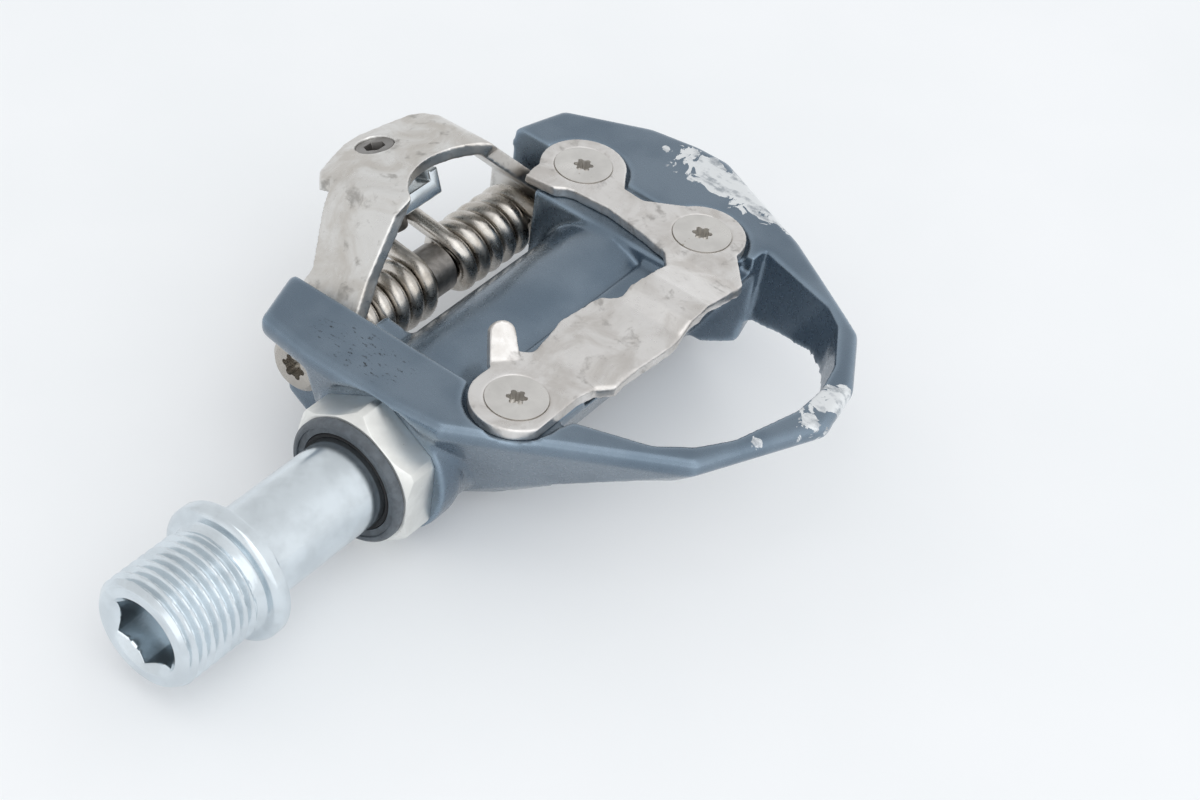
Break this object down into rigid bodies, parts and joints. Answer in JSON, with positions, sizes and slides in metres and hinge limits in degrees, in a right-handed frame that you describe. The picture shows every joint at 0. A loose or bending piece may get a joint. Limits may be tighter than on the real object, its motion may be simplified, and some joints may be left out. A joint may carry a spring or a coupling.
{
  "type": "clipless pedal",
  "caption": "Single-sided clipless bicycle pedal, left hand: cast body with a front loop, sprung rear latch, fixed front claw plate and a cartridge-bearing spindle.",
  "frame": {"origin": "spindle axis at the crank-side face of the spindle's flange", "axes": "+X along the spindle towards the crank, +Y towards the toe and the front loop, +Z out of the cleat side"},
  "size_m": [0.1051, 0.0728, 0.0288],
  "materials": {
    "spindle": "satin",
    "seal_ring": "satin",
    "seal_lip": "matte",
    "lock_sleeve": "satin",
    "plain_bush": "satin",
    "race_tube": "satin",
    "inner_balls": "polished",
    "outer_balls": "polished",
    "outer_cone": "satin",
    "lock_washer": "satin",
    "cone_locknut": "satin",
    "pedal_body": "satin",
    "front_claw_plate": "satin",
    "claw_screws": "satin",
    "rear_latch": "satin",
    "pivot_bolt": "satin",
    "pivot_washers": "satin",
    "spring_inboard": "polished",
    "spring_outboard": "polished",
    "spring_spacer": "satin",
    "tension_screw": "satin",
    "tension_nut": "satin"
  },
  "bodies": {
    "spindle_unit": {"spindle": "spindle", "outer_cone": "outer_cone", "lock_washer": "lock_washer", "cone_locknut": "cone_locknut"},
    "bearing_balls": {"inner_balls": "inner_balls", "outer_balls": "outer_balls"},
    "pedal": {"pedal_body": "pedal_body", "front_claw_plate": "front_claw_plate", "claw_screws": "claw_screws", "lock_sleeve": "lock_sleeve", "seal_ring": "seal_ring", "seal_lip": "seal_lip", "plain_bush": "plain_bush", "race_tube": "race_tube", "pivot_bolt": "pivot_bolt", "pivot_washers": "pivot_washers", "spring_inboard": "spring_inboard", "spring_outboard": "spring_outboard", "spring_spacer": "spring_spacer"},
    "latch": {"rear_latch": "rear_latch"},
    "tension_screw": {"tension_screw": "tension_screw"},
    "tension_nut": {"tension_nut": "tension_nut"}
  },
  "joints": [
    {"name": "pedal_spin", "type": "hinge", "parent": "spindle_unit", "child": "pedal", "pos_m": [0, 0, 0], "axis": [1, 0, 0], "continuous": true},
    {"name": "ball_orbit", "type": "hinge", "parent": "spindle_unit", "child": "bearing_balls", "pos_m": [0, 0, 0], "axis": [1, 0, 0], "continuous": true},
    {"name": "latch_hinge", "type": "hinge", "parent": "pedal", "child": "latch", "pos_m": [-0.0565, -0.0175, 0.0005], "axis": [1, 0, 0], "range_deg": [0, 24], "stiffness_Nm_per_rad": 8, "springref_deg": -14.32, "deforming": ["spring_inboard", "spring_outboard"]},
    {"name": "tension_turn", "type": "hinge", "parent": "latch", "child": "tension_screw", "pos_m": [-0.0565, -0.0278, 0.01575], "axis": [0, -0.342, 0.9397], "range_deg": [-720, 720]},
    {"name": "tension_travel", "type": "slide", "parent": "latch", "child": "tension_nut", "axis": [0, -0.342, 0.9397], "range_m": [-0.00139, 0.00139]}
  ],
  "couplings": [
    {"joint": "ball_orbit", "follows": "pedal_spin", "ratio": 0.6227},
    {"joint": "tension_turn", "follows": "tension_travel", "rad_per_m": -8976}
  ]
}
